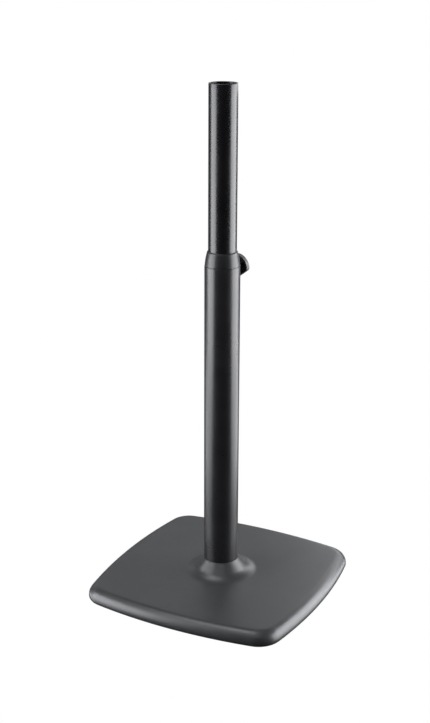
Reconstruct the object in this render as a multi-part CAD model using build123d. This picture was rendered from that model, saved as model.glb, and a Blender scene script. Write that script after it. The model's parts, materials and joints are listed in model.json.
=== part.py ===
from build123d import *

import math
import os

# Height-adjustable pole stand for a PA loudspeaker.
#
# A square cast-iron base with bowed sides carries a steel column. A second tube slides and turns in
# the column and is held by a clamp screw just below the collar. The loudspeaker's pole socket slips
# over the second tube.
#
# Frame: +Z up along the column, origin on the floor under the column's axis, +Y towards the clamp
# knob. Lengths are millimetres, and radii are named *_r.

# --- Driving dimensions -------------------------------------------------------------------------
pole_r = 17.5  # the 35 mm pole that loudspeaker sockets are made for
column_r = 22.0
tube_wall = 2.0

base_side = 286.0  # across the middles of two opposite sides
side_bow = 13.4  # how far each side bulges beyond its corners
corner_r = 32.0
foot_gap = 4.7  # floor to the underside of the casting
rim_height = 18.3
rim_top_r = 13.8
rim_bottom_r = 4.3

hub_top = 40.7  # where the column stands on the casting
hub_top_r = 22.4
hub_foot_r = 48.5
hub_slope = 48.0  # degrees from level, of the straight flank under the column

column_top = 432.3
collar_top = 450.0
pole_top = 650.4  # with the pole drawn out about half way
pole_length = 407.4
clamp_height = 422.3

# --- Clearances and standard parts --------------------------------------------------------------
slip = 0.1  # radial room between parts that are pushed together
running = 0.05  # radial room of a screw in its thread or a pad in its bore
m12_r, m12_pitch, m12_head_af, m12_head = 6.0, 1.75, 18.0, 7.5
m8_r, m8_pitch, m8_head_af, m8_head = 4.0, 1.25, 13.0, 5.3
m4_r, m4_pitch, m4_head_r, m4_head = 2.0, 0.7, 4.0, 2.6

# --- Derived sizes ------------------------------------------------------------------------------
base_half = base_side / 2
rim_top = foot_gap + rim_height
column_bore_r = column_r - tube_wall
pole_bore_r = pole_r - tube_wall
pole_bottom = pole_top - pole_length

UP = (Align.CENTER, Align.CENTER, Align.MIN)


# --- Shape helpers ------------------------------------------------------------------------------
def rod(radius, low, high):
    """A round bar on the Z axis from height low to height high."""
    return Pos(0, 0, low) * Cylinder(radius, high - low, align=UP)


def ring(outer, inner, low, high):
    """A plain tube on the Z axis."""
    return rod(outer, low, high) - rod(inner, low, high)


def turned(*outline):
    """A solid of revolution about Z from (radius, height) corners."""
    profile = make_face(Polyline(*outline, close=True))
    return revolve(Plane.XZ * profile, Axis.Z)


def hexagon_bar(across_flats, low, high):
    flat_to_flat_r = across_flats / 2
    profile = RegularPolygon(flat_to_flat_r, 6, major_radius=False)
    return Pos(0, 0, low) * extrude(profile, high - low)


def bolt_head(across_flats, low, high):
    """A hexagon head whose six corners are turned off at its free end, the low one."""
    corner = across_flats / math.sqrt(3)
    drop = (corner - across_flats / 2) * math.tan(math.radians(30))
    turned_blank = turned(
        (0, low), (across_flats / 2, low), (corner, low + drop), (corner, high), (0, high)
    )
    return hexagon_bar(across_flats, low, high) & turned_blank


def threaded(radius, pitch, low, high):
    """A screw's shank with its thread drawn as rings, chamfered at the high end."""
    depth = 0.61 * pitch
    turns = int((high - low - pitch) / pitch)
    corners = [(0, low), (radius, low)]
    for turn in range(turns):
        at = low + turn * pitch
        corners += [(radius, at + 0.1 * pitch), (radius - depth, at + 0.55 * pitch), (radius, at + pitch)]
    corners += [(radius, high - depth), (radius - depth, high), (0, high)]
    return turned(*corners)


def at_each(places, shape):
    """Copies of one shape at several (x, y) places, as separate solids of one node."""
    return Compound(children=[Pos(x, y, 0) * shape for x, y in places])


def in_clamp_line(shape):
    """Turns a shape built on the Z axis so that its height becomes the distance out along +Y."""
    return Pos(0, 0, clamp_height) * Rot(-90, 0, 0) * shape


# --- Base ---------------------------------------------------------------------------------------
under_wall = 15.0  # width of the casting's rim, seen from below
pocket_roof = foot_gap + 4.0
rib_width = 6.0
rib_pitch = 61.0
pocket_corner_r = 4.0
boss_r = 30.0
foot_offset = 103.0
foot_boss_r = 17.5
foot_r = 11.0
foot_recess_roof = foot_gap + 3.5
foot_hole_top = foot_recess_roof + 9.5
bolt_recess_r = 16.0
bolt_recess_roof = rim_top - 3.0
spigot_r = column_bore_r - slip
spigot_top = hub_top + 8.0
bolt_hole_r = m12_r + 0.5
locating_pin_offset = 13.0
locating_pin_r = 2.5
locating_pin_low, locating_pin_high = hub_top, hub_top + 16.0

foot_places = [(x * foot_offset, y * foot_offset) for x in (-1, 1) for y in (-1, 1)]


def base_outline(inset=0.0):
    """The base seen from above: a square whose sides are arcs of one large circle."""
    corner_at = base_half - side_bow
    side_r = (corner_at**2 + side_bow**2) / (2 * side_bow)
    disc = Circle(side_r - inset)
    reach = side_r - base_half
    bowed_square = Pos(0, -reach) * disc & Pos(0, reach) * disc
    bowed_square = bowed_square & Pos(-reach, 0) * disc & Pos(reach, 0) * disc
    return fillet(bowed_square.vertices(), corner_r - inset)


def rib_grid():
    """Ribs that divide the underside into pockets, as a flat pattern."""
    ribs = Sketch()
    for step in (-1, 0, 1):
        ribs += Pos(step * rib_pitch, 0) * Rectangle(rib_width, base_side)
        ribs += Pos(0, step * rib_pitch) * Rectangle(base_side, rib_width)
    return ribs


def underside_pockets():
    """The hollows between the ribs, clear of the middle boss and the foot bosses."""
    hollow = base_outline(under_wall) - rib_grid() - Circle(boss_r)
    for x, y in foot_places:
        hollow -= Pos(x, y) * Circle(foot_boss_r)
    pockets = []
    for face in hollow.faces():
        rounded = fillet(face.vertices(), pocket_corner_r)
        pockets.append(Pos(0, 0, foot_gap - 1) * extrude(rounded, pocket_roof - foot_gap + 1))
    return pockets


def hub():
    """The raised middle: a straight flank that sweeps out into the flat top, and the spigot."""
    rise = hub_top - rim_top
    run = hub_foot_r - hub_top_r
    slope = math.radians(hub_slope)
    sweep_r = (run * math.tan(slope) - rise) / (math.sin(slope) * math.tan(slope) - 1 + math.cos(slope))
    foot = (hub_foot_r, rim_top)
    middle = swept(sweep_r, slope / 2)
    flank_end = swept(sweep_r, slope)
    top = (hub_top_r, hub_top)
    chamfer_width = 1.0
    buried = rim_top - 5
    rest_of_outline = Polyline(
        flank_end,
        top,
        (spigot_r, hub_top),
        (spigot_r, spigot_top - chamfer_width),
        (spigot_r - chamfer_width, spigot_top),
        (0, spigot_top),
        (0, buried),
        (hub_foot_r, buried),
        foot,
    )
    profile = make_face([ThreePointArc(foot, middle, flank_end), rest_of_outline])
    return revolve(Plane.XZ * profile, Axis.Z)


def swept(sweep_r, turned_by):
    """A point of the hub's sweep, as (radius, height), where it has turned up from level this far."""
    return hub_foot_r - sweep_r * math.sin(turned_by), rim_top + sweep_r * (1 - math.cos(turned_by))


def base_casting():
    plate = Pos(0, 0, foot_gap) * extrude(base_outline(), rim_height)
    plate = fillet(plate.faces().sort_by(Axis.Z)[-1].edges(), rim_top_r)
    plate = fillet(plate.faces().sort_by(Axis.Z)[0].edges(), rim_bottom_r)
    casting = plate + hub()
    for pocket in underside_pockets():
        casting -= pocket
    casting -= rod(bolt_recess_r, 0, bolt_recess_roof)
    casting -= rod(bolt_hole_r, bolt_recess_roof - 1, spigot_top + 1)
    pin_hole = rod(locating_pin_r + running, locating_pin_low - 0.5, spigot_top + 1)
    casting -= Pos(locating_pin_offset, 0, 0) * pin_hole
    for x, y in foot_places:
        casting -= Pos(x, y, 0) * rod(foot_r + 2 * slip, 0, foot_recess_roof)
        casting -= Pos(x, y, 0) * rod(m4_r + running, foot_recess_roof - 1, foot_hole_top)
    return casting


foot_step = foot_recess_roof - 2.3  # where the screw's washer bears inside the foot
foot_washer_thick = 0.8
foot_well_r = 5.2


def foot_pads():
    pad = turned(
        (foot_r - 2, 0),
        (foot_r - 0.6, 0.8),
        (foot_r, 2.4),
        (foot_r, foot_recess_roof),
        (m4_r + 0.3, foot_recess_roof),
        (m4_r + 0.3, foot_step),
        (foot_well_r, foot_step),
        (foot_well_r, 0),
    )
    return at_each(foot_places, pad)


def foot_washers():
    low = foot_step - foot_washer_thick
    return at_each(foot_places, ring(foot_well_r - 0.3, m4_r + 0.2, low, foot_step))


def foot_screws():
    under_head = foot_step - foot_washer_thick
    head_low = under_head - m4_head
    head = turned(
        (0, head_low),
        (m4_head_r * 0.6, head_low),
        (m4_head_r * 0.92, head_low + 0.6),
        (m4_head_r, head_low + 1.4),
        (m4_head_r, under_head),
        (0, under_head),
    )
    slot = Pos(0, 0, head_low) * Box(4.2, 0.9, 1.5, align=UP)
    head = head - slot - Rot(0, 0, 90) * slot
    shank = threaded(m4_r, m4_pitch, under_head, foot_hole_top - 1)
    return at_each(foot_places, head + shank)


# --- Column fixing, from below ------------------------------------------------------------------
washer_thick, washer_r = 2.5, 14.5
spring_washer_thick, spring_washer_r = 2.5, 10.2
washer_low = bolt_recess_roof - washer_thick
spring_washer_low = washer_low - spring_washer_thick
plug_low, plug_high = spigot_top + 0.5, spigot_top + 22.3
buffer_high = plug_high + 6.0
bolt_reach = plug_high - 7.0


def column_bolt():
    head_low = spring_washer_low - m12_head
    head = bolt_head(m12_head_af, head_low, spring_washer_low)
    return head + threaded(m12_r - running, m12_pitch, spring_washer_low, bolt_reach)


def column_bolt_washer():
    return ring(washer_r, bolt_hole_r, washer_low, bolt_recess_roof)


def column_bolt_spring_washer():
    """A split washer, cut through on a slant."""
    washer = ring(spring_washer_r, m12_r + 0.2, spring_washer_low, washer_low)
    middle = (spring_washer_low + washer_low) / 2
    split = Pos(spring_washer_r - 2, 0, middle) * Rot(20, 0, 0) * Box(8, 1.0, 8)
    return washer - split


def column_locating_pin():
    """A rolled spring pin that keeps the column from turning on its bolt."""
    wall = 0.8
    pin = ring(locating_pin_r, locating_pin_r - wall, locating_pin_low, locating_pin_high)
    seam = Pos(locating_pin_r, 0, locating_pin_low - 1) * Box(4, 0.9, 20, align=UP)
    return Pos(locating_pin_offset, 0, 0) * (pin - seam)


def column_foot_plug():
    """The steel plug pressed into the column's lower end, threaded for the bolt."""
    chamfer_width = 1.0
    outer = column_bore_r - running
    plug = turned(
        (0, plug_low),
        (outer, plug_low),
        (outer, plug_high - chamfer_width),
        (outer - chamfer_width, plug_high),
        (0, plug_high),
    )
    plug -= rod(m12_r, plug_low - 1, plug_high + 1)
    pin_hole = rod(locating_pin_r + running, plug_low - 1, locating_pin_high + 0.5)
    return plug - Pos(locating_pin_offset, 0, 0) * pin_hole


def drop_buffer():
    """A rubber ring on the plug, which the pole lands on when it is let down."""
    outer = column_bore_r - 0.6
    return turned(
        (8, plug_high),
        (outer, plug_high),
        (outer, buffer_high - 1.5),
        (outer - 1.5, buffer_high),
        (9.5, buffer_high),
        (8, buffer_high - 1.5),
    )


# --- Column, and what is in its mouth -----------------------------------------------------------
clamp_boss_r = 8.0
clamp_pilot_r = 6.0
clamp_boss_end = 29.0
clamp_thread_r = m8_r + running
sleeve_bore_r = pole_r + slip
sleeve_body_r = column_bore_r - running
sleeve_low = column_top - 38.3
sleeve_flange_r = 21.3
sleeve_flange_top = column_top + 0.8
sleeve_neck_r = 18.85
sleeve_neck_top = collar_top - 7.0
snap_bead_low, snap_bead_high = sleeve_neck_top - 4.6, sleeve_neck_top - 3.0
snap_bead_height = 0.35
pilot_end = sleeve_bore_r + 0.8
wiper_flange_top = sleeve_neck_top + 1.4
wiper_top = collar_top + 0.5
wiper_r = 18.25
collar_shoulder_r, collar_middle_r, collar_edge_r = 21.6, 20.75, 18.75
collar_edge = 0.4


def clamp_pilot_hole():
    """The hole for the clamp boss's pilot, through whatever stands in the clamp's line."""
    return in_clamp_line(rod(clamp_pilot_r + slip, 10, column_r + 5))


def column_tube():
    edge = 0.4
    tube = turned(
        (column_bore_r, hub_top),
        (column_r, hub_top),
        (column_r, column_top - edge),
        (column_r - edge, column_top),
        (column_bore_r, column_top),
    )
    return tube - clamp_pilot_hole()


def clamp_boss():
    """The threaded boss welded over a hole in the column, its pilot keyed into the sleeve."""
    barrel = rod(clamp_boss_r, column_bore_r, clamp_boss_end)
    barrel = chamfer(barrel.faces().sort_by(Axis.Z)[-1].edges(), 0.8)
    barrel = in_clamp_line(barrel) - rod(column_r, clamp_height - 20, clamp_height + 20)
    boss = barrel + in_clamp_line(rod(clamp_pilot_r, pilot_end, column_r + 1))
    return boss - in_clamp_line(rod(clamp_thread_r, pilot_end - 2, clamp_boss_end + 1))


def guide_sleeve():
    """The split plastic sleeve that guides the pole in the column's mouth."""
    sleeve = turned(
        (sleeve_bore_r, sleeve_low),
        (sleeve_body_r - 1, sleeve_low),
        (sleeve_body_r, sleeve_low + 1.5),
        (sleeve_body_r, column_top),
        (sleeve_flange_r, column_top),
        (sleeve_flange_r, sleeve_flange_top),
        (sleeve_neck_r, sleeve_flange_top),
        (sleeve_neck_r, snap_bead_low),
        (sleeve_neck_r + snap_bead_height, snap_bead_low + 0.4),
        (sleeve_neck_r + snap_bead_height, snap_bead_high - 0.4),
        (sleeve_neck_r, snap_bead_high),
        (sleeve_neck_r, sleeve_neck_top),
        (sleeve_bore_r, sleeve_neck_top),
    )
    split = Pos(0, -column_r, sleeve_low - 1) * Box(2, 15, 100, align=UP)
    return sleeve - clamp_pilot_hole() - split


def collar():
    """The cap on the column's end, bowed in to the pole, snapped over the sleeve's bead."""
    bore_r = sleeve_neck_r + slip
    groove_r = bore_r + snap_bead_height
    lip_r = wiper_r + running
    seat = wiper_flange_top + slip
    middle_height = sleeve_flange_top + 0.45 * (collar_top - sleeve_flange_top)
    shoulder = (collar_shoulder_r, sleeve_flange_top)
    middle = (collar_middle_r, middle_height)
    top = (collar_edge_r, collar_top - collar_edge)
    profile = make_face(
        [
            ThreePointArc(shoulder, middle, top),
            Polyline(
                top,
                (collar_edge_r - collar_edge / 2, collar_top),
                (lip_r, collar_top),
                (lip_r, seat),
                (bore_r, seat),
                (bore_r, snap_bead_high + 0.3),
                (groove_r, snap_bead_high - 0.1),
                (groove_r, snap_bead_low + 0.1),
                (bore_r, snap_bead_low - 0.3),
                (bore_r, sleeve_flange_top),
                shoulder,
            ),
        ]
    )
    return revolve(Plane.XZ * profile, Axis.Z)


def wiper_ring():
    """A rubber ring held under the collar's lip. Its edge shows round the pole."""
    inner_r = pole_r + 0.2
    return turned(
        (inner_r, sleeve_neck_top),
        (sleeve_neck_r - 0.1, sleeve_neck_top),
        (sleeve_neck_r - 0.1, wiper_flange_top),
        (wiper_r, wiper_flange_top),
        (wiper_r, wiper_top - 0.4),
        (inner_r + 0.15, wiper_top),
        (inner_r, wiper_top),
    )


# --- Pole ---------------------------------------------------------------------------------------
snap_wire_r = 0.8
snap_groove_depth = 0.75
snap_groove_half = 0.85
lower_snap = pole_bottom + 5.5
bush_length = 37.0
bush_low = lower_snap + 1.0
bush_high = bush_low + bush_length
upper_snap = bush_high + 1.0
height_mark_low, height_mark_high = collar_top + 1.2, collar_top + 2.0
height_mark_depth = 0.25


def pole_tube():
    """The sliding tube: two snap-ring grooves at its foot and a fine ring scribed at mid height."""
    edge = 0.5
    tube = turned(
        (pole_bore_r, pole_bottom),
        (pole_r - edge, pole_bottom),
        (pole_r, pole_bottom + edge),
        (pole_r, pole_top - edge),
        (pole_r - edge, pole_top),
        (pole_bore_r + edge, pole_top),
        (pole_bore_r, pole_top - edge),
    )
    for middle in (lower_snap, upper_snap):
        low, high = middle - snap_groove_half, middle + snap_groove_half
        tube -= ring(pole_r + 1, pole_r - snap_groove_depth, low, high)
    return tube - ring(pole_r + 1, pole_r - height_mark_depth, height_mark_low, height_mark_high)


def snap_ring(middle):
    """A round-wire ring, open over a small gap so that it springs into its groove."""
    section = Pos(pole_r - snap_groove_depth + snap_wire_r + running, middle) * Circle(snap_wire_r)
    return revolve(Plane.XZ * section, Axis.Z, 325)


def slide_bush():
    """The plastic bush that the pole's foot runs on, fluted so that air can pass it."""
    bore = pole_r + slip
    outer = column_bore_r - slip
    land = 9.0
    lead_in = 1.2
    waist = outer - 0.5
    bush = turned(
        (bore, bush_low),
        (outer - 0.8, bush_low),
        (outer, bush_low + lead_in),
        (outer, bush_low + land),
        (waist, bush_low + land + 0.5),
        (waist, bush_high - land - 0.5),
        (outer, bush_high - land),
        (outer, bush_high - lead_in),
        (outer - 0.8, bush_high),
        (bore, bush_high),
    )
    flute = Pos(outer + 0.3, 0, 0) * rod(1.2, bush_low - 1, bush_high + 1)
    for turn in range(6):
        bush -= Rot(0, 0, 60 * turn) * flute
    return bush


# --- Clamp screw and knob -----------------------------------------------------------------------
pad_face = pole_r + 0.2  # the pad stands this far from the axis
pad_r = 3.6
pad_end = 21.7
screw_tip_r = 1.9
screw_tip_start = 19.5
screw_shoulder = pad_end + 0.2
knob_r = 18.3
knob_flat = 12.4  # from the knob's axis to each of its two flats
knob_flat_turn = 52.5
knob_hub_r = 9.0
knob_hub_back = clamp_boss_end + 0.8
knob_back = 31.0
knob_rim_wall = 2.4
knob_web = 36.2  # where the hollow back ends
knob_front = 39.8
knob_front_round = 2.2
knob_rib_width = 1.6
screw_head_seat = 33.2
cap_r = 8.9
cap_seat = screw_head_seat + m8_head + 0.2
cap_front = knob_front + 0.5


def pressure_pad():
    """The plastic pad on the screw's tip, hollowed to lie against the pole."""
    pad = in_clamp_line(rod(pad_r, pad_face - 1, pad_end))
    pad -= rod(pad_face, clamp_height - 10, clamp_height + 10)
    return pad - in_clamp_line(rod(screw_tip_r + running, screw_tip_start - slip, pad_end + 1))


def clamp_screw():
    tip = rod(screw_tip_r, screw_tip_start, screw_shoulder + 0.5)
    shank = threaded(m8_r, m8_pitch, -screw_head_seat, -screw_shoulder)
    head = bolt_head(m8_head_af, -screw_head_seat - m8_head, -screw_head_seat)
    return in_clamp_line(tip + Rot(180, 0, 0) * (shank + head))


def knob_outline(inset=0.0):
    """The knob seen along its axis: a disc with two opposite flats."""
    disc = Circle(knob_r - inset)
    return Rot(0, 0, knob_flat_turn) * (disc & Rectangle(2 * (knob_flat - inset), 4 * knob_r))


def knob_grip():
    """A shallow cup with its hollow side to the column, a hub, ribs, and a pocket for the screw."""
    body = Pos(0, 0, knob_back) * extrude(knob_outline(), knob_front - knob_back)
    body = fillet(body.faces().sort_by(Axis.Z)[-1].edges(), knob_front_round)
    body = fillet(body.faces().sort_by(Axis.Z)[0].edges(), 0.6)
    hollow = extrude(knob_outline(knob_rim_wall), knob_web - knob_back + 1)
    rib_height = knob_web - knob_back - 1.5
    for turn in range(4):
        spoke = Box(2 * knob_r, knob_rib_width, rib_height, align=UP)
        hollow -= Pos(0, 0, 2.5) * Rot(0, 0, knob_flat_turn + 45 * turn) * spoke
    knob = body - Pos(0, 0, knob_back - 1) * hollow
    knob += rod(knob_hub_r, knob_hub_back, knob_web + 1)
    knob -= rod(m8_r + slip, knob_hub_back - 1, screw_head_seat + 1)
    knob -= hexagon_bar(m8_head_af + 2 * slip, screw_head_seat, knob_front + 1)
    return in_clamp_line(knob - rod(cap_r + slip, cap_seat, knob_front + 1))


def knob_cap():
    edge = 0.5
    return in_clamp_line(
        turned(
            (0, cap_seat),
            (cap_r, cap_seat),
            (cap_r, cap_front - edge),
            (cap_r - edge, cap_front),
            (0, cap_front),
        )
    )


# --- Nodes --------------------------------------------------------------------------------------
nodes = {
    "base_casting": base_casting(),
    "foot_pads": foot_pads(),
    "foot_washers": foot_washers(),
    "foot_screws": foot_screws(),
    "column_bolt": column_bolt(),
    "column_bolt_washer": column_bolt_washer(),
    "column_bolt_spring_washer": column_bolt_spring_washer(),
    "column_locating_pin": column_locating_pin(),
    "column_foot_plug": column_foot_plug(),
    "drop_buffer": drop_buffer(),
    "column_tube": column_tube(),
    "clamp_boss": clamp_boss(),
    "guide_sleeve": guide_sleeve(),
    "collar": collar(),
    "wiper_ring": wiper_ring(),
    "slide_bush": slide_bush(),
    "pole_tube": pole_tube(),
    "bush_lower_snap_ring": snap_ring(lower_snap),
    "bush_upper_snap_ring": snap_ring(upper_snap),
    "pressure_pad": pressure_pad(),
    "clamp_screw": clamp_screw(),
    "knob_grip": knob_grip(),
    "knob_cap": knob_cap(),
}

os.makedirs("parts", exist_ok=True)
for name, shape in nodes.items():
    export_step(shape, f"parts/{name}.step")
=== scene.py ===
import json
import math

import bmesh
import bpy
from mathutils import Matrix, Vector, noise


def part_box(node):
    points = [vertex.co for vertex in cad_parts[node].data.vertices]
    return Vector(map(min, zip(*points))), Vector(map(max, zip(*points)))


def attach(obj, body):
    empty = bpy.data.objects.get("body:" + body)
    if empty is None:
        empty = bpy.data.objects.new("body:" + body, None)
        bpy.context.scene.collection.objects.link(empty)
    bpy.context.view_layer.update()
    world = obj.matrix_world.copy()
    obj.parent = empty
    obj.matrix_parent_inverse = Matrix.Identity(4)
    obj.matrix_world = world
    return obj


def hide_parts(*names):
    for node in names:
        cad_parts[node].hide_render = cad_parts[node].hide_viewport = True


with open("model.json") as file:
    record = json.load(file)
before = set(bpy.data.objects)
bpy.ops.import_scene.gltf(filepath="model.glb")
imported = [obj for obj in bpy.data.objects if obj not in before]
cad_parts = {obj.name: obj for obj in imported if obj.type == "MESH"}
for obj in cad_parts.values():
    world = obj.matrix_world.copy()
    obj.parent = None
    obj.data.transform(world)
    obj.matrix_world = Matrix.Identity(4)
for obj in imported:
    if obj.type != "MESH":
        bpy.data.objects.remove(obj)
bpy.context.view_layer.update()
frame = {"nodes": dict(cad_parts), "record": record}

MM = 0.001
TAU = 2 * math.pi
UP = Vector((0, 0, 1))

# --- Sizes, from the frame ----------------------------------------------------------------------


def box_of(node):
    """A node's low and high corners."""
    low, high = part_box(node)
    return Vector(low), Vector(high)


BASE_LOW, BASE_HIGH = box_of("base_casting")
COLUMN_LOW, COLUMN_HIGH = box_of("column_tube")
COLLAR_LOW, COLLAR_HIGH = box_of("collar")
POLE_LOW, POLE_HIGH = box_of("pole_tube")
KNOB_LOW, KNOB_HIGH = box_of("knob_grip")
SCREW_LOW, SCREW_HIGH = box_of("clamp_screw")
CAP_LOW, CAP_HIGH = box_of("knob_cap")
BOSS_LOW, BOSS_HIGH = box_of("clamp_boss")
FEET_HIGH = box_of("foot_pads")[1]
COLUMN_R = COLUMN_HIGH.x
POLE_R = POLE_HIGH.x
CLAMP_Z = (BOSS_LOW.z + BOSS_HIGH.z) / 2
BASE_HALF = BASE_HIGH.x

# The base's own shape, in metres: each side is an arc of radius SIDE_ARC_R, whose centre lies
# SIDE_ARC_REACH past the base's middle on the far side.
SIDE_BOW = 13.4 * MM
CORNER_R = 32 * MM
SIDE_ARC_R = ((BASE_HALF - SIDE_BOW) ** 2 + SIDE_BOW**2) / (2 * SIDE_BOW)
SIDE_ARC_REACH = SIDE_ARC_R - BASE_HALF
RIM_TOP_Z = 23 * MM
RIM_TOP_R = 13.8 * MM
RIM_BOTTOM_R = 4.3 * MM
HUB_TOP_Z = COLUMN_LOW.z
HUB_TOP_R = COLUMN_R + 0.4 * MM
HUB_FOOT_R = 48.5 * MM
HUB_SLOPE = math.radians(48)
SPIGOT_R = COLUMN_R - 2.1 * MM
SPIGOT_TOP_Z = HUB_TOP_Z + 8 * MM
SPIGOT_EDGE = 1 * MM
BOLT_RECESS_R = 16 * MM
BOLT_RECESS_Z = RIM_TOP_Z - 3 * MM
BOLT_HOLE_R = 6.5 * MM
RECESS_EDGE = 0.6 * MM
FOOT_R = 11 * MM
FOOT_AT = FEET_HIGH.x - FOOT_R
TUBE_WALL = 2 * MM
TUBE_EDGE = 0.5 * MM
PILOT_R = 6.1 * MM


# --- Meshes -------------------------------------------------------------------------------------
SHARP_DEG = 38


def finished(name, bm, sharp_deg):
    """Turns a bmesh into an object, smooth but for edges sharper than sharp_deg."""
    bmesh.ops.remove_doubles(bm, verts=bm.verts, dist=1e-7)
    bmesh.ops.recalc_face_normals(bm, faces=bm.faces)
    mesh = bpy.data.meshes.new(name)
    bm.to_mesh(mesh)
    bm.free()
    for face in mesh.polygons:
        face.use_smooth = True
    mesh.set_sharp_from_angle(angle=math.radians(sharp_deg))
    obj = bpy.data.objects.new(name, mesh)
    bpy.context.scene.collection.objects.link(obj)
    return obj


def add_loops(bm, loops, ring_closed=True):
    """Joins closed loops of equal length with quads. ring_closed also joins the last to the first."""
    rows = [[bm.verts.new(point) for point in loop] for loop in loops]
    count = len(rows[0])
    last_row = len(rows) if ring_closed else len(rows) - 1
    for i in range(last_row):
        upper, lower = rows[(i + 1) % len(rows)], rows[i]
        for j in range(count):
            k = (j + 1) % count
            corners = []
            for vert in (lower[j], lower[k], upper[k], upper[j]):
                if vert not in corners and all((vert.co - c.co).length > 1e-8 for c in corners):
                    corners.append(vert)
            if len(corners) > 2:
                bm.faces.new(corners)
    return rows


def lathe(name, outline, segments, centres=((0, 0),), sharp_deg=SHARP_DEG, turn=None):
    """Revolves a closed (radius, height) outline about each centre. turn places the result."""
    bm = bmesh.new()
    angles = [TAU * j / segments for j in range(segments)]
    for x, y in centres:
        loops = []
        for radius, height in outline:
            r = max(radius, 1e-9)
            loops.append([Vector((x + r * math.cos(a), y + r * math.sin(a), height)) for a in angles])
        add_loops(bm, loops)
    if turn is not None:
        bm.transform(turn)
    return finished(name, bm, sharp_deg)


def rounded(outline, radius, steps):
    """The same closed outline with every convex or hollow corner rounded by up to radius."""
    result = []
    count = len(outline)
    for i, corner in enumerate(outline):
        here = Vector(corner)
        before = Vector(outline[i - 1]) - here
        after = Vector(outline[(i + 1) % count]) - here
        reach = min(radius, before.length * 0.45, after.length * 0.45)
        start = here + before.normalized() * reach
        end = here + after.normalized() * reach
        if here.x < 1e-6 or before.normalized().dot(after.normalized()) < -0.98:
            result.append(tuple(here))
            continue
        for k in range(steps + 1):
            t = k / steps
            point = start * (1 - t) ** 2 + here * 2 * t * (1 - t) + end * t**2
            result.append(tuple(point))
    return result


def between(first, second, t):
    """The part t of the way from one number to another, or from each (x, y) to its partner."""
    if isinstance(first, list):
        return [(a * (1 - t) + c * t, b * (1 - t) + d * t) for (a, b), (c, d) in zip(first, second)]
    return first * (1 - t) + second * t


def quarter_turn(steps):
    """Angles from 0 to a right angle in equal steps, both ends included."""
    return [math.pi / 2 * k / steps for k in range(steps + 1)]


CLAMP_LINE = Matrix.Translation((0, 0, CLAMP_Z)) @ Matrix.Rotation(math.radians(-90), 4, "X")


# --- Material helpers ---------------------------------------------------------------------------
class Finish:
    """A node material in the object's own coordinates, built up a layer at a time."""

    def __init__(self, name, metallic=0.0, specular=0.5):
        self.material = bpy.data.materials.new(name)
        self.material.use_nodes = True
        self.nodes = self.material.node_tree.nodes
        self.links = self.material.node_tree.links
        self.shader = self.nodes["Principled BSDF"]
        self.shader.inputs["Metallic"].default_value = metallic
        self.shader.inputs["Specular IOR Level"].default_value = specular
        self.coordinates = self.nodes.new("ShaderNodeTexCoord").outputs["Object"]
        self.normal = None

    def stretched(self, x, y, z):
        """The coordinates scaled by x, y and z, which draws a texture out where the scale is small."""
        mapping = self.nodes.new("ShaderNodeMapping")
        mapping.inputs["Scale"].default_value = (x, y, z)
        self.links.new(self.coordinates, mapping.inputs["Vector"])
        return mapping.outputs["Vector"]

    def noise(self, scale, detail, rough=0.55, vector=None):
        texture = self.nodes.new("ShaderNodeTexNoise")
        texture.inputs["Scale"].default_value = scale
        texture.inputs["Detail"].default_value = detail
        texture.inputs["Roughness"].default_value = rough
        self.links.new(vector or self.coordinates, texture.inputs["Vector"])
        return texture.outputs["Fac"]

    def cells(self, scale):
        texture = self.nodes.new("ShaderNodeTexVoronoi")
        texture.inputs["Scale"].default_value = scale
        self.links.new(self.coordinates, texture.inputs["Vector"])
        return texture.outputs["Distance"]

    def spread(self, value, low, high, to_low, to_high):
        """Maps low..high onto to_low..to_high, and holds the ends beyond it."""
        node = self.nodes.new("ShaderNodeMapRange")
        node.inputs["From Min"].default_value = low
        node.inputs["From Max"].default_value = high
        node.inputs["To Min"].default_value = to_low
        node.inputs["To Max"].default_value = to_high
        self.links.new(value, node.inputs["Value"])
        return node.outputs["Result"]

    def sum(self, first, second):
        """Adds two values that other nodes give."""
        node = self.nodes.new("ShaderNodeMath")
        node.operation = "ADD"
        self.links.new(first, node.inputs[0])
        self.links.new(second, node.inputs[1])
        return node.outputs["Value"]

    def blend(self, factor, first, second):
        """A colour between two, each an (r, g, b) or another blend's result."""
        node = self.nodes.new("ShaderNodeMix")
        node.data_type = "RGBA"
        self.links.new(factor, node.inputs["Factor"])
        for socket, value in ((node.inputs[6], first), (node.inputs[7], second)):
            if isinstance(value, tuple):
                socket.default_value = (*value, 1)
            else:
                self.links.new(value, socket)
        return node.outputs[2]

    def color(self, value):
        self.links.new(value, self.shader.inputs["Base Color"])

    def roughness(self, value):
        self.links.new(value, self.shader.inputs["Roughness"])

    def bump(self, height, distance, strength=1.0):
        """Adds a layer of relief on top of the layers that are there."""
        node = self.nodes.new("ShaderNodeBump")
        node.inputs["Distance"].default_value = distance
        node.inputs["Strength"].default_value = strength
        self.links.new(height, node.inputs["Height"])
        if self.normal is not None:
            self.links.new(self.normal, node.inputs["Normal"])
        self.normal = node.outputs["Normal"]
        self.links.new(self.normal, self.shader.inputs["Normal"])


def scaled(color, factor):
    """The colour made lighter, or with a factor under 1 darker."""
    return tuple(c * factor for c in color)


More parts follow.
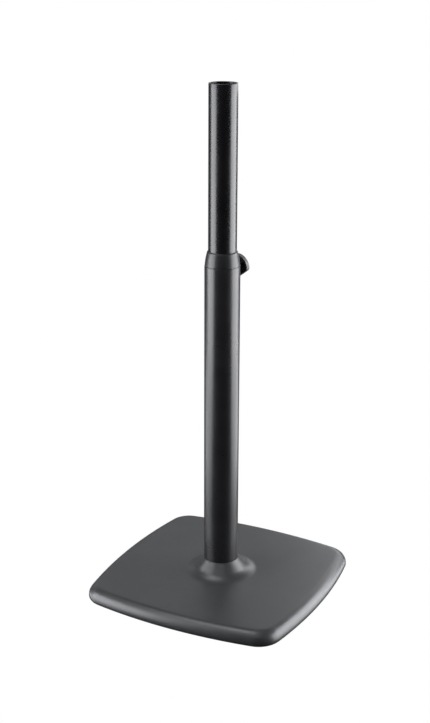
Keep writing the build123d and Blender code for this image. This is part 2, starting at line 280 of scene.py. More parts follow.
def powder_coat(name, dark, light, rough, peel=0.02 * MM):
    """Satin powder coat: a fine orange peel, faint mottling, dust and a few hairline rubs."""
    f = Finish(name)
    mottle = f.spread(f.noise(38, 5), 0.32, 0.68, 0, 1)
    speck = f.spread(f.noise(1500, 2), 0.66, 0.74, 0, 0.5)
    rub = f.spread(f.noise(900, 2, vector=f.stretched(1, 1, 0.012)), 0.66, 0.78, 0, 0.3)
    base = f.blend(mottle, dark, light)
    dusty = f.blend(speck, base, scaled(light, 2.2))
    f.color(f.blend(rub, dusty, scaled(light, 1.9)))
    broad = f.spread(f.noise(22, 3), 0.3, 0.7, rough - 0.03, rough + 0.04)
    fine = f.spread(f.noise(420, 3), 0.3, 0.7, -0.03, 0.03)
    f.roughness(f.sum(broad, fine))
    f.bump(f.noise(520, 3, 0.5), peel)
    f.bump(f.noise(1900, 2, 0.5), peel * 0.4)
    return f.material


def cast_coat(name):
    """Powder coat over cast iron: pebbled by the sand mould, with a broad unevenness."""
    f = Finish(name)
    mottle = f.spread(f.noise(24, 6), 0.3, 0.7, 0, 1)
    pebble = f.spread(f.noise(820, 3), 0.36, 0.66, 0, 1)
    base = f.blend(mottle, (0.023, 0.0235, 0.025), (0.031, 0.0315, 0.033))
    speck = f.spread(f.noise(1300, 2), 0.68, 0.76, 0, 0.6)
    f.color(f.blend(speck, f.blend(pebble, base, (0.028, 0.0285, 0.030)), (0.08, 0.08, 0.084)))
    broad = f.spread(f.noise(18, 4), 0.3, 0.7, 0.33, 0.39)
    f.roughness(f.sum(broad, f.spread(pebble, 0, 1, -0.03, 0.03)))
    f.bump(f.noise(45, 3, 0.5), 0.25 * MM, 0.35)
    f.bump(f.noise(700, 3, 0.55), 0.03 * MM, 0.8)
    f.bump(f.cells(1400), 0.012 * MM, 0.6)
    return f.material


def rubber(name, tone=0.018):
    """Dull moulded rubber, paler where it is scuffed."""
    f = Finish(name, specular=0.35)
    scuff = f.spread(f.noise(260, 5), 0.45, 0.72, 0, 1)
    f.color(f.blend(scuff, (tone, tone, tone * 1.04), (tone * 2.1, tone * 2.1, tone * 2.1)))
    f.roughness(f.spread(f.noise(180, 4), 0.3, 0.7, 0.62, 0.82))
    f.bump(f.noise(1600, 3), 0.03 * MM, 0.7)
    return f.material


def moulded(name, dark, light, rough, grain=0.025 * MM):
    """Moulded plastic with a spark-eroded grain, smoother where fingers have polished it."""
    f = Finish(name)
    f.color(f.blend(f.spread(f.noise(90, 4), 0.35, 0.65, 0, 1), dark, light))
    handled = f.spread(f.noise(70, 3), 0.35, 0.65, rough - 0.07, rough + 0.07)
    f.roughness(f.sum(handled, f.spread(f.noise(2200, 2), 0.3, 0.7, -0.03, 0.03)))
    f.bump(f.cells(2100), grain, 0.8)
    f.bump(f.noise(60, 2), 0.06 * MM, 0.3)
    return f.material


def steel(name, dark, light, rough, stretch=(1, 1, 1)):
    """Bare or plated steel with fine marks, drawn out along an axis whose stretch is small."""
    f = Finish(name, metallic=1.0)
    marks = f.noise(1400, 3, vector=f.stretched(*stretch))
    stain = f.spread(f.noise(140, 5), 0.4, 0.75, 0, 1)
    clean = f.blend(f.spread(marks, 0.3, 0.7, 0, 1), dark, light)
    f.color(f.blend(stain, clean, scaled(dark, 0.7)))
    marked = f.spread(marks, 0.3, 0.7, rough - 0.06, rough + 0.06)
    f.roughness(f.sum(marked, f.spread(stain, 0, 1, 0, 0.1)))
    f.bump(marks, 0.012 * MM, 0.7)
    return f.material


BLACK_LOW = (0.0035, 0.0036, 0.0042)
BLACK_HIGH = (0.0055, 0.0056, 0.0064)
FINISHES = {
    "base_paint": cast_coat("base_paint"),
    "column_paint": powder_coat("column_paint", (0.009, 0.0093, 0.0102), (0.013, 0.0133, 0.0143), 0.31),
    "collar_paint": powder_coat("collar_paint", (0.010, 0.0103, 0.0112), (0.014, 0.0143, 0.0153), 0.36),
    "boss_paint": powder_coat("boss_paint", BLACK_LOW, BLACK_HIGH, 0.40),
    "pole_paint": powder_coat("pole_paint", BLACK_LOW, BLACK_HIGH, 0.28, 0.008 * MM),
    "foot_rubber": rubber("foot_rubber"),
    "wiper_rubber": rubber("wiper_rubber", 0.008),
    "black_acetal": moulded("black_acetal", (0.012, 0.012, 0.013), (0.018, 0.018, 0.019), 0.36),
    "pad_plastic": moulded("pad_plastic", (0.56, 0.56, 0.52), (0.66, 0.66, 0.62), 0.4),
    "knob_plastic": moulded("knob_plastic", (0.016, 0.016, 0.017), (0.024, 0.024, 0.026), 0.42),
    "cap_plastic": moulded("cap_plastic", (0.015, 0.015, 0.016), (0.021, 0.021, 0.022), 0.22, 0.005 * MM),
    "zinc_steel": steel("zinc_steel", (0.50, 0.51, 0.54), (0.66, 0.66, 0.66), 0.30),
    "bolt_steel": steel("bolt_steel", (0.075, 0.075, 0.08), (0.12, 0.12, 0.125), 0.42),
    "plug_steel": steel("plug_steel", (0.38, 0.38, 0.39), (0.50, 0.50, 0.50), 0.32, (1, 1, 0.05)),
    "spring_steel": steel("spring_steel", (0.24, 0.23, 0.22), (0.34, 0.33, 0.32), 0.34),
    "screw_steel": steel("screw_steel", (0.46, 0.47, 0.50), (0.62, 0.62, 0.62), 0.30),
}


def dress(piece, slot):
    piece.data.materials.clear()
    piece.data.materials.append(FINISHES[slot])


def put(piece, body, slot, *nodes):
    """Rides a piece on its body, gives it the finish of its slot, and hides the CAD nodes it stands for.
    """
    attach(piece, body)
    if nodes:
        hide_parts(*nodes)
    dress(piece, slot)


# --- Base ---------------------------------------------------------------------------------------
SIDE_STEPS = 96
CORNER_STEPS = 24


def base_loop(inset):
    """The base's outline, moved in by inset, as points (x, y): four bowed sides and four corners."""
    reach = SIDE_ARC_REACH
    # The corner arc's centre lies on the diagonal, at this span from the centre of the side's arc.
    span = SIDE_ARC_R - CORNER_R
    diagonal = (-reach + math.sqrt(2 * span**2 - reach**2)) / 2
    half_side = math.atan2(diagonal, diagonal + reach)
    arcs = [
        (-reach, 0.0, SIDE_ARC_R - inset, -half_side, half_side, SIDE_STEPS),
        (diagonal, diagonal, CORNER_R - inset, half_side, math.pi / 2 - half_side, CORNER_STEPS),
    ]
    points = []
    for quarter in range(4):
        turn = quarter * math.pi / 2
        cos, sin = math.cos(turn), math.sin(turn)
        for cx, cy, radius, start, end, steps in arcs:
            for k in range(steps):
                a = start + (end - start) * k / steps
                x, y = cx + radius * math.cos(a), cy + radius * math.sin(a)
                points.append((x * cos - y * sin, x * sin + y * cos))
    return points


def smooth_step(value, width):
    """0 up to value 0, then an eased rise to 1 at width."""
    t = min(max(value / width, 0), 1)
    return t * t * (3 - 2 * t)


UNDERSIDE_Z = BASE_LOW.z
FOOT_RECESS_DEPTH = 3.5 * MM
FOOT_RECESS_DRAFT = 0.8 * MM
POCKET_DEPTH = 4 * MM
RIB_HALF = 3 * MM
RIB_PITCH = 61 * MM
MIDDLE_BOSS_R = 30 * MM
FOOT_BOSS_R = 17.5 * MM
UNDER_WALL = 15 * MM
WALL_DRAFT = 2.2 * MM


def underside(x, y):
    """The height of the casting's underside: pockets between ribs, with sloped walls."""
    from_centre = max(math.hypot(abs(x) + SIDE_ARC_REACH, y), math.hypot(x, abs(y) + SIDE_ARC_REACH))
    inside = SIDE_ARC_R - from_centre - UNDER_WALL
    ribs = min(abs(place - step * RIB_PITCH) for place in (x, y) for step in (-1, 0, 1)) - RIB_HALF
    boss = math.hypot(x, y) - MIDDLE_BOSS_R
    foot = math.hypot(abs(x) - FOOT_AT, abs(y) - FOOT_AT)
    recess = FOOT_RECESS_DEPTH * (1 - smooth_step(foot - FOOT_R, FOOT_RECESS_DRAFT))
    pocket = POCKET_DEPTH * smooth_step(min(inside, ribs, boss, foot - FOOT_BOSS_R), WALL_DRAFT)
    return UNDERSIDE_Z + max(recess, pocket)


def circle_at(loop, radius):
    """Points on a circle about the column's axis, each in line with the loop's own point."""
    return [(x / math.hypot(x, y) * radius, y / math.hypot(x, y) * radius) for x, y in loop]


UNDERSIDE_RINGS = 110
TOP_RINGS = 26
SWEEP_RINGS = 24
FLANK_RINGS = 5


def base_piece():
    """The casting as one closed skin, from the bolt hole out under the base and back over the top."""
    loops = []

    def add(points, z):
        loops.append([Vector((x, y, z if z is not None else underside(x, y))) for x, y in points])

    inner = base_loop(RIM_BOTTOM_R)
    add(circle_at(inner, BOLT_HOLE_R), SPIGOT_TOP_Z)
    add(circle_at(inner, BOLT_HOLE_R), BOLT_RECESS_Z)
    add(circle_at(inner, BOLT_RECESS_R), BOLT_RECESS_Z)
    add(circle_at(inner, BOLT_RECESS_R), UNDERSIDE_Z + RECESS_EDGE)
    start = circle_at(inner, BOLT_RECESS_R + RECESS_EDGE)
    for k in range(UNDERSIDE_RINGS):
        add(between(start, inner, k / UNDERSIDE_RINGS), None)
    for a in quarter_turn(10):
        add(base_loop(RIM_BOTTOM_R * (1 - math.sin(a))), UNDERSIDE_Z + RIM_BOTTOM_R * (1 - math.cos(a)))
    for a in quarter_turn(20):
        add(base_loop(RIM_TOP_R * (1 - math.cos(a))), RIM_TOP_Z - RIM_TOP_R * (1 - math.sin(a)))
    edge = base_loop(RIM_TOP_R)
    hub_foot = circle_at(edge, HUB_FOOT_R)
    for k in range(1, TOP_RINGS + 1):
        add(between(edge, hub_foot, k / TOP_RINGS), RIM_TOP_Z)
    # The hub sweeps up from the plate in an arc, then runs straight up its flank to the column.
    rise, run = HUB_TOP_Z - RIM_TOP_Z, HUB_FOOT_R - HUB_TOP_R
    steepness = math.tan(HUB_SLOPE)
    sweep_r = (run * steepness - rise) / (math.sin(HUB_SLOPE) * steepness - 1 + math.cos(HUB_SLOPE))
    for k in range(1, SWEEP_RINGS + 1):
        a = HUB_SLOPE * k / SWEEP_RINGS
        flank_r, flank_z = HUB_FOOT_R - sweep_r * math.sin(a), RIM_TOP_Z + sweep_r * (1 - math.cos(a))
        add(circle_at(edge, flank_r), flank_z)
    for k in range(1, FLANK_RINGS + 1):
        t = k / FLANK_RINGS
        add(circle_at(edge, between(flank_r, HUB_TOP_R, t)), between(flank_z, HUB_TOP_Z, t))
    add(circle_at(edge, SPIGOT_R), HUB_TOP_Z)
    add(circle_at(edge, SPIGOT_R), SPIGOT_TOP_Z - SPIGOT_EDGE)
    add(circle_at(edge, SPIGOT_R - SPIGOT_EDGE), SPIGOT_TOP_Z)
    bm = bmesh.new()
    add_loops(bm, loops)
    for vert in bm.verts:
        # A cast face is never quite flat: the top dips here and there by hundredths of a millimetre.
        dip = min(noise.noise(vert.co * 22) * 0.06 * MM, 0)
        on_plate = HUB_FOOT_R < math.hypot(vert.co.x, vert.co.y) < BASE_HALF - 3 * MM
        if on_plate and vert.co.z > RIM_TOP_Z - 2 * MM:
            vert.co.z += dip
    return finished("base_casting_skin", bm, 40)


def foot_pieces():
    """Rubber feet with a ringed sole and a well for the screw's head."""
    top = FEET_HIGH.z
    step = top - 2.3 * MM
    well, screw_hole = 5.2 * MM, 2.3 * MM
    groove_depth, groove_width, groove_pitch = 0.45 * MM, 0.6 * MM, 1.25 * MM
    outline = [(FOOT_R - 1.2 * MM, 0.3 * MM), (FOOT_R, 2.2 * MM), (FOOT_R, top)]
    outline += [(screw_hole, top), (screw_hole, step), (well, step), (well, 0)]
    for groove in range(3):
        at = well + 1.0 * MM + groove * groove_pitch
        outline += [(at, 0), (at + 0.15 * MM, groove_depth)]
        outline += [(at + groove_width - 0.15 * MM, groove_depth), (at + groove_width, 0)]
    centres = [(sx * FOOT_AT, sy * FOOT_AT) for sx in (-1, 1) for sy in (-1, 1)]
    return lathe("foot_pads_ringed", rounded(outline, 0.25 * MM, 2), 72, centres)


# --- Tubes --------------------------------------------------------------------------------------
def drilled(piece, cutter):
    """The piece with the cutter's shape taken out of it."""
    hole = piece.modifiers.new("hole", "BOOLEAN")
    hole.object = cutter
    hole.operation = "DIFFERENCE"
    hole.solver = "EXACT"
    view = bpy.context.evaluated_depsgraph_get()
    mesh = bpy.data.meshes.new_from_object(piece.evaluated_get(view))
    piece.modifiers.clear()
    piece.data = mesh
    mesh.set_sharp_from_angle(angle=math.radians(SHARP_DEG))
    bpy.data.objects.remove(cutter)
    return piece


TUBE_SEGMENTS = 256


def column_piece():
    """The column's tube, with the hole that the clamp boss's pilot goes through."""
    low, high, edge = COLUMN_LOW.z, COLUMN_HIGH.z, TUBE_EDGE
    bore, rows = COLUMN_R - TUBE_WALL, 24
    outline = [(bore, low), (COLUMN_R - edge / 2, low), (COLUMN_R, low + edge / 2)]
    for k in range(1, rows):
        outline.append((COLUMN_R, low + (high - low) * k / rows))
    outline += [(COLUMN_R, high - edge), (COLUMN_R - edge * 0.3, high - edge * 0.3)]
    outline += [(COLUMN_R - edge, high), (bore, high)]
    tube = lathe("column_tube_drawn", outline, TUBE_SEGMENTS)
    start, end = 10 * MM, COLUMN_R + 5 * MM
    drill = lathe("pilot", [(0, start), (PILOT_R, start), (PILOT_R, end), (0, end)], 64, turn=CLAMP_LINE)
    return drilled(tube, drill)


def pole_piece():
    """The sliding tube, with its end edges rounded, its snap-ring grooves and its scribed ring."""
    low, high, edge = POLE_LOW.z, POLE_HIGH.z, TUBE_EDGE
    bore = POLE_R - TUBE_WALL
    outline = [(bore, low), (POLE_R - edge, low), (POLE_R, low + edge)]
    groove_floor, groove_half = POLE_R - 0.75 * MM, 0.85 * MM
    for node in ("bush_lower_snap_ring", "bush_upper_snap_ring"):
        ring_low, ring_high = box_of(node)
        middle = (ring_low.z + ring_high.z) / 2
        under, over = middle - groove_half, middle + groove_half
        outline += [(POLE_R, under), (groove_floor, under), (groove_floor, over), (POLE_R, over)]
    mark_floor = POLE_R - 0.25 * MM
    mark = COLLAR_HIGH.z + 1.2 * MM
    mark_top = mark + 0.8 * MM
    outline += [(POLE_R, mark), (mark_floor, mark + 0.15 * MM)]
    outline += [(mark_floor, mark_top - 0.15 * MM), (POLE_R, mark_top)]
    rows = 12
    for k in range(1, rows):
        outline.append((POLE_R, mark_top + (high - mark - 2 * MM) * k / rows))
    for a in quarter_turn(4):
        outline.append((POLE_R - edge * (1 - math.cos(a)), high - edge * (1 - math.sin(a))))
    for a in quarter_turn(4):
        outline.append((bore + edge * (1 - math.sin(a)), high - edge * (1 - math.cos(a))))
    return lathe("pole_tube_drawn", outline, TUBE_SEGMENTS, sharp_deg=50)


COLLAR_BORE_R = 18.95 * MM
COLLAR_MIDDLE_R = 20.75 * MM
COLLAR_TOP_R = 18.75 * MM
COLLAR_EDGE = 0.4 * MM
COLLAR_LIP_R = 18.3 * MM
WIPER_SEAT_DEPTH = 5.5 * MM


def collar_piece():
    """The collar: a fine rounded shoulder on the column, a bowed side, and a lip round the wiper."""
    low, high, shoulder = COLLAR_LOW.z, COLLAR_HIGH.z, COLLAR_HIGH.x
    height = high - COLLAR_EDGE - low
    outline = [(COLLAR_BORE_R, low), (shoulder - 0.3 * MM, low), (shoulder - 0.08 * MM, low + 0.12 * MM)]
    # The side is the parabola through the shoulder, the middle and the top.
    at_middle = 0.45 * (high - low) / height
    rows = 32
    for k in range(rows + 1):
        t = k / rows
        first = shoulder * (t - at_middle) * (t - 1) / at_middle
        second = COLLAR_MIDDLE_R * t * (t - 1) / (at_middle * (at_middle - 1))
        third = COLLAR_TOP_R * t * (t - at_middle) / (1 - at_middle)
        outline.append((first + second + third, low + height * t if k else low + 0.3 * MM))
    outline += [(18.62 * MM, high - 0.1 * MM), (18.5 * MM, high), (COLLAR_LIP_R, high)]
    seat = high - WIPER_SEAT_DEPTH
    outline += [(COLLAR_LIP_R, seat), (COLLAR_BORE_R, seat)]
    return lathe("collar_bowed", outline, TUBE_SEGMENTS, sharp_deg=50)


# --- Knob and clamp -----------------------------------------------------------------------------
KNOB_R = (KNOB_HIGH.x - KNOB_LOW.x) / 2
KNOB_FLAT = 12.4 * MM
KNOB_FLAT_TURN = math.radians(52.5)
KNOB_BACK_Y = 31 * MM
KNOB_WEB_Y = 36.2 * MM
KNOB_HUB_R = 9 * MM
KNOB_HUB_BACK_Y = KNOB_LOW.y
KNOB_WALL = 2.4 * MM
KNOB_RIB_HALF = 0.6 * MM
KNOB_RIB_HEIGHT = 3.7 * MM
KNOB_BACK_EDGE = 0.6 * MM
KNOB_FRONT_ROUND = 2.2 * MM
KNOB_SCREW_HOLE_R = 4.1 * MM
KNOB_HEAD_POCKET_R = 7.6 * MM
GRIP_RIDGES = 60
GRIP_DEPTH = 0.12 * MM
CAP_R = (CAP_HIGH.x - CAP_LOW.x) / 2
SCREW_HEAD = 5.3 * MM
SCREW_SEAT_Y = SCREW_HIGH.y - SCREW_HEAD


def knob_radius(angle, inset=0.0):
    """The knob's outline radius at an angle about its axis: a disc cut by two flats."""
    across = abs(math.cos(angle - KNOB_FLAT_TURN))
    flat = (KNOB_FLAT - inset) / max(across, 1e-6)
    disc = KNOB_R - inset
    sharpness = 26  # the higher, the smaller the radius where a flat meets the disc
    return (disc**-sharpness + flat**-sharpness) ** (-1 / sharpness)


def knob_piece():
    """The knob as one closed skin: hub, ribbed hollow back, rim with a fine grip, and a domed face."""
    count = 480
    angles = [TAU * j / count for j in range(count)]
    front = KNOB_HIGH.y
    loops = []

    def ring(radius, depth):
        """Adds a loop. Its radius and its depth are each a number or a function of the angle."""
        loop = []
        for a in angles:
            r = radius(a) if callable(radius) else radius
            loop.append(Vector((r * math.cos(a), r * math.sin(a), depth(a) if callable(depth) else depth)))
        loops.append(loop)

    def outline(inset):
        return lambda a: knob_radius(a, inset)

    def rib(a, r):
        nearest = min(abs(math.sin(a - KNOB_FLAT_TURN - k * math.pi / 4)) for k in range(4)) * r
        return 1 - smooth_step(nearest - KNOB_RIB_HALF, 0.5 * MM)

    def web(a, r):
        return KNOB_WEB_Y - KNOB_RIB_HEIGHT * rib(a, r)

    ring(KNOB_SCREW_HOLE_R, KNOB_HUB_BACK_Y)
    ring(KNOB_HUB_R - 0.5 * MM, KNOB_HUB_BACK_Y)
    ring(KNOB_HUB_R, KNOB_HUB_BACK_Y + 0.5 * MM)
    for k in range(6):
        depth = KNOB_HUB_BACK_Y + 0.5 * MM + (KNOB_WEB_Y - KNOB_HUB_BACK_Y - 0.6 * MM) * k / 5
        ring(KNOB_HUB_R, lambda a, d=depth: min(d, web(a, KNOB_HUB_R)))
    for k in range(1, 13):

        def spoke(a, t=k / 12):
            return between(KNOB_HUB_R, knob_radius(a, KNOB_WALL), t)

        ring(spoke, lambda a, reach=spoke: web(a, reach(a)))
    for k in range(1, 6):
        depth = KNOB_WEB_Y - (KNOB_WEB_Y - KNOB_BACK_Y - 0.4 * MM) * k / 5
        ring(outline(KNOB_WALL), lambda a, d=depth: min(d, web(a, KNOB_R)))
    edge = KNOB_BACK_EDGE
    for a in quarter_turn(4):
        ring(outline(edge * (1 - math.sin(a))), KNOB_BACK_Y + edge * (1 - math.cos(a)))
    side_steps = 8
    side_length = front - KNOB_FRONT_ROUND - KNOB_BACK_Y - edge
    for k in range(1, side_steps):

        def grip(a, fade=math.sin(math.pi * k / side_steps)):
            return knob_radius(a) - GRIP_DEPTH * fade * (0.5 + 0.5 * math.cos(GRIP_RIDGES * a))

        ring(grip, KNOB_BACK_Y + edge + side_length * k / side_steps)
    for a in quarter_turn(8):
        inset = KNOB_FRONT_ROUND * (1 - math.cos(a))
        ring(outline(inset), front - KNOB_FRONT_ROUND * (1 - math.sin(a)))
    lip = CAP_R + 0.1 * MM
    for k in range(1, 7):
        ring(lambda a, t=k / 6: between(knob_radius(a, KNOB_FRONT_ROUND), lip, t), front)
    ring(lip, CAP_LOW.y)
    ring(KNOB_HEAD_POCKET_R, CAP_LOW.y)
    ring(KNOB_HEAD_POCKET_R, SCREW_SEAT_Y)
    ring(KNOB_SCREW_HOLE_R, SCREW_SEAT_Y)
    bm = bmesh.new()
    add_loops(bm, loops)
    bm.transform(CLAMP_LINE)
    return finished("knob_grip_shell", bm, 42)


def cap_piece():
    """The knob's cap: a shallow dome inside a raised edge."""
    low, high = CAP_LOW.y, CAP_HIGH.y
    sunk, dome = high - 0.35 * MM, 0.3 * MM
    outline = [(0, low), (CAP_R, low), (CAP_R, sunk), (CAP_R - 0.3 * MM, high)]
    outline += [(CAP_R - 1.1 * MM, high), (CAP_R - 1.5 * MM, sunk)]
    steps = 7
    for k in range(steps + 1):
        t = 1 - k / steps
        outline.append(((CAP_R - 2.2 * MM) * t, sunk + dome * (1 - t * t)))
    return lathe("knob_cap_domed", outline, 96, turn=CLAMP_LINE)


def screw_piece():
    """The clamp screw with a real helical thread, a hexagon head and a plain tip."""
    shank_r, pitch, depth, tip_r, half_flat = 4.0 * MM, 1.25 * MM, 0.70 * MM, 1.9 * MM, 6.5 * MM
    tip_low, thread_low, seat, head_top = SCREW_LOW.y, 21.9 * MM, SCREW_SEAT_Y, SCREW_HIGH.y
    tip_edge, head_edge = 0.4 * MM, 0.7 * MM
    steps_per_turn, around = 10, 72
    angles = [TAU * j / around for j in range(around)]
    loops = []

    def ring(radii, height):
        """Adds a loop with one radius for each of the angles."""
        loops.append([Vector((r * math.cos(a), r * math.sin(a), height)) for a, r in zip(angles, radii)])

    ring([1e-9] * around, tip_low)
    ring([tip_r - tip_edge] * around, tip_low)
    ring([tip_r] * around, tip_low + tip_edge)
    ring([tip_r] * around, thread_low)
    steps = int((seat - thread_low) / pitch * steps_per_turn)
    for k in range(steps + 1):
        z = thread_low + (seat - thread_low) * k / steps
        turns = (z - thread_low) / pitch
        radii = []
        for a in angles:
            phase = (turns - a / TAU) % 1
            crest = min(max((abs(phase - 0.5) * 2 - 0.12) / 0.76, 0), 1)
            radii.append(shank_r - depth + depth * crest * min(turns, 1))
        ring(radii, z)
    hexagon = [half_flat / math.cos((a + math.pi / 6) % (math.pi / 3) - math.pi / 6) for a in angles]
    ring(hexagon, seat)
    ring(hexagon, head_top - head_edge)
    ring([half_flat] * around, head_top)
    ring([1e-9] * around, head_top)
    bm = bmesh.new()
    add_loops(bm, loops, ring_closed=False)
    bm.transform(CLAMP_LINE)
    return finished("clamp_screw_threaded", bm, 30)


def boss_weld():
    """The weld that joins the clamp boss to the column, rippled along its length."""
    boss_r = (BOSS_HIGH.x - BOSS_LOW.x) / 2
    count, across = 240, 7
    leg, buried, root = 1.5 * MM, 0.05 * MM, 0.2 * MM
    swell = 0.126 * leg
    loops = []

    def on_column(radius, a, out):
        """The point at an angle and a radius about the clamp's line, out from the column's skin."""
        x, z = radius * math.cos(a), radius * math.sin(a)
        return Vector((x, math.sqrt(COLUMN_R**2 - x * x) + out, CLAMP_Z + z))

    for j in range(count):
        a = TAU * j / count
        unevenness = noise.noise(Vector((math.cos(a) * 3, math.sin(a) * 3, 0)))
        size = leg * (1 + 0.10 * math.sin(34 * a) + 0.06 * unevenness)
        section = []
        for k in range(across):
            t = k / (across - 1)
            bulge = swell * math.sin(math.pi * t) - buried
            section.append(on_column(boss_r + size * (1 - t) + bulge, a, size * t + bulge))
        section.append(on_column(boss_r - root, a, -root))
        loops.append(section)
    bm = bmesh.new()
    add_loops(bm, loops)
    return finished("clamp_boss_weld", bm, 60)


def pole_seam():
    """The weld bead along the inside of the pole's tube."""
    bore = POLE_R - TUBE_WALL
    seam_turn = math.radians(116.8)
    toward = Vector((math.cos(seam_turn), math.sin(seam_turn), 0))
    aside = Vector((-toward.y, toward.x, 0))
    bead_half, bead_height, buried = 0.9 * MM, 0.45 * MM, 0.05 * MM
    steps, across = 260, 6
    low, high = POLE_LOW.z + 1 * MM, POLE_HIGH.z - 0.8 * MM
    loops = []
    for i in range(steps + 1):
        z = low + (high - low) * i / steps
        wobble = 0.12 * MM * noise.noise(Vector((0, 0, z * 60)))
        fullness = 1 + 0.2 * noise.noise(Vector((1, 0, z * 400)))
        section = []
        for k in range(across + 1):
            t = k / across * 2 - 1
            inward = bore + buried - bead_height * (1 - t * t) * fullness
            section.append(toward * inward + aside * (t * bead_half + wobble) + UP * z)
        loops.append(section)
    bm = bmesh.new()
    rows = add_loops(bm, loops, ring_closed=False)
    bm.faces.new(rows[0])
    bm.faces.new(rows[-1])
    return finished("pole_inner_seam", bm, 60)


# --- Pieces in place ----------------------------------------------------------------------------
for name, node in frame["nodes"].items():
    entry = next(s for s in frame["record"]["subparts"] if s["node"] == name)
    dress(node, entry["material_slot"])

put(base_piece(), "stand", "base_paint", "base_casting")
put(foot_pieces(), "stand", "foot_rubber", "foot_pads")
put(column_piece(), "stand", "column_paint", "column_tube")
put(pole_piece(), "pole", "pole_paint", "pole_tube")
put(collar_piece(), "stand", "collar_paint", "collar")
put(knob_piece(), "clamp_knob", "knob_plastic", "knob_grip")
put(cap_piece(), "clamp_knob", "cap_plastic", "knob_cap")
put(screw_piece(), "clamp_knob", "screw_steel", "clamp_screw")
put(boss_weld(), "stand", "boss_paint")
put(pole_seam(), "pole", "pole_paint")


# --- Studio -------------------------------------------------------------------------------------
VIEW_AZIMUTH = math.radians(26.6515)
CAMERA_DISTANCE = 1.49967
CAMERA_HEIGHT = 0.81078
CAMERA_DOWN = math.radians(18.490)
CAMERA_ASIDE = math.radians(0.3266)
CAMERA_ROLL = 0.0038
CAMERA_LENS_MM = 63.229
LAMP_COLOR = (0.98, 0.99, 1.02)
WORLD_STRENGTH = 0.012
TOWARD_CAMERA = Vector((math.sin(VIEW_AZIMUTH), -math.cos(VIEW_AZIMUTH), 0))
RIGHT = Vector((math.cos(VIEW_AZIMUTH), math.sin(VIEW_AZIMUTH), 0))


def add_camera():
    data = bpy.data.cameras.new("camera")
    data.sensor_width = 36
    data.lens = CAMERA_LENS_MM
    data.clip_start, data.clip_end = 0.05, 200
    camera = bpy.data.objects.new("camera", data)
    bpy.context.scene.collection.objects.link(camera)
    turn = Matrix.Rotation(VIEW_AZIMUTH + CAMERA_ASIDE, 4, "Z")
    tilt = Matrix.Rotation(math.pi / 2 - CAMERA_DOWN, 4, "X")
    roll = Matrix.Rotation(CAMERA_ROLL, 4, "Z")
    place = Matrix.Translation(TOWARD_CAMERA * CAMERA_DISTANCE + UP * CAMERA_HEIGHT)
    camera.matrix_world = place @ turn @ tilt @ roll
    bpy.context.scene.camera = camera


def softbox(name, place, target, width, height, power):
    """A flat lamp of a width and height in metres, aimed at the target, that the camera doesn't see."""
    data = bpy.data.lights.new(name, "AREA")
    data.shape = "RECTANGLE"
    data.size, data.size_y = width, height
    data.energy = power
    data.color = LAMP_COLOR
    lamp = bpy.data.objects.new(name, data)
    bpy.context.scene.collection.objects.link(lamp)
    lamp.location = place
    lamp.rotation_mode = "QUATERNION"
    lamp.rotation_quaternion = (target - place).to_track_quat("-Z", "Y")
    lamp.visible_camera = False


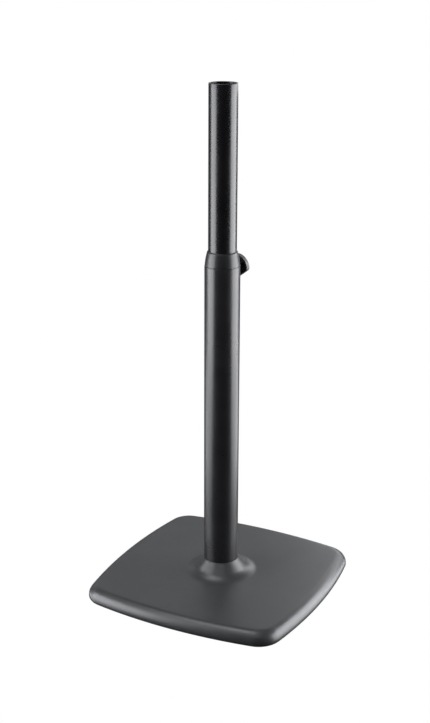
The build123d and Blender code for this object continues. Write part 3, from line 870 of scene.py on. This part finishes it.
def add_floor():
    """A white floor that turns up into a round backdrop far behind the lights."""
    bm = bmesh.new()
    reach, wall, sides, below_feet = 12, 14, 96, 0.2 * MM
    angles = [TAU * k / sides for k in range(sides)]
    around = [Vector((math.cos(a), math.sin(a), 0)) * reach for a in angles]
    edge = [bm.verts.new(p - UP * below_feet) for p in around]
    top = [bm.verts.new(p + UP * wall) for p in around]
    bm.faces.new(edge)
    for k in range(sides):
        bm.faces.new((edge[k - 1], edge[k], top[k], top[k - 1]))
    mesh = bpy.data.meshes.new("floor")
    bm.to_mesh(mesh)
    bm.free()
    floor = bpy.data.objects.new("floor", mesh)
    bpy.context.scene.collection.objects.link(floor)
    material = bpy.data.materials.new("floor_white")
    material.use_nodes = True
    shader = material.node_tree.nodes["Principled BSDF"]
    shader.inputs["Base Color"].default_value = (0, 0, 0, 1)
    shader.inputs["Specular IOR Level"].default_value = 0
    shader.inputs["Roughness"].default_value = 1
    shader.inputs["Emission Color"].default_value = (1, 1, 1, 1)
    shader.inputs["Emission Strength"].default_value = 1.0
    mesh.materials.append(material)
    floor.visible_glossy = False
    floor.visible_diffuse = False
    floor.visible_shadow = False


def add_world():
    world = bpy.data.worlds.new("studio")
    world.use_nodes = True
    background = world.node_tree.nodes["Background"]
    background.inputs["Color"].default_value = (1, 1, 1, 1)
    background.inputs["Strength"].default_value = WORLD_STRENGTH
    bpy.context.scene.world = world


MIDDLE = Vector((0, 0, 0.3))
LEFT = -RIGHT * 1.08 + TOWARD_CAMERA * 0.19
FAR_RIGHT = RIGHT * 1.1 - TOWARD_CAMERA * 0.05
BEHIND = -TOWARD_CAMERA * 1.6
softbox("left_strip", LEFT + UP * 0.38, UP * 0.38, 1.0, 0.84, 21)
softbox("left_low", -RIGHT * 1.1 - TOWARD_CAMERA * 0.1 - UP * 0.22, -UP * 0.22, 1.35, 0.3, 5.0)
softbox("right_strip", FAR_RIGHT + UP * 0.38, UP * 0.38, 1.2, 0.84, 27.5)
softbox("right_low", RIGHT * 1.1 - TOWARD_CAMERA * 0.2 - UP * 0.22, -UP * 0.22, 1.5, 0.3, 7)
softbox("back_wall", BEHIND + UP * 0.35, UP * 0.35, 3.2, 1.2, 2)
softbox("back_wide", BEHIND + RIGHT * 0.1 + UP * 1.0, MIDDLE, 3.4, 0.9, 5.5)
softbox("back_right", BEHIND + RIGHT * 1.1 + UP * 0.8, MIDDLE, 1.8, 0.7, 12)
softbox("front_top", TOWARD_CAMERA * 0.9 + UP * 1.4, MIDDLE, 0.8, 0.8, 2.4)
softbox("front_left_high", -RIGHT * 1.0 + TOWARD_CAMERA * 0.5 + UP * 1.25, UP * 0.02, 0.7, 0.7, 4.8)
softbox("overhead", -RIGHT * 0.5 + UP * 1.9, MIDDLE, 0.8, 0.8, 12)
add_world()
add_floor()
add_camera()
bpy.context.scene.view_settings.view_transform = "Standard"
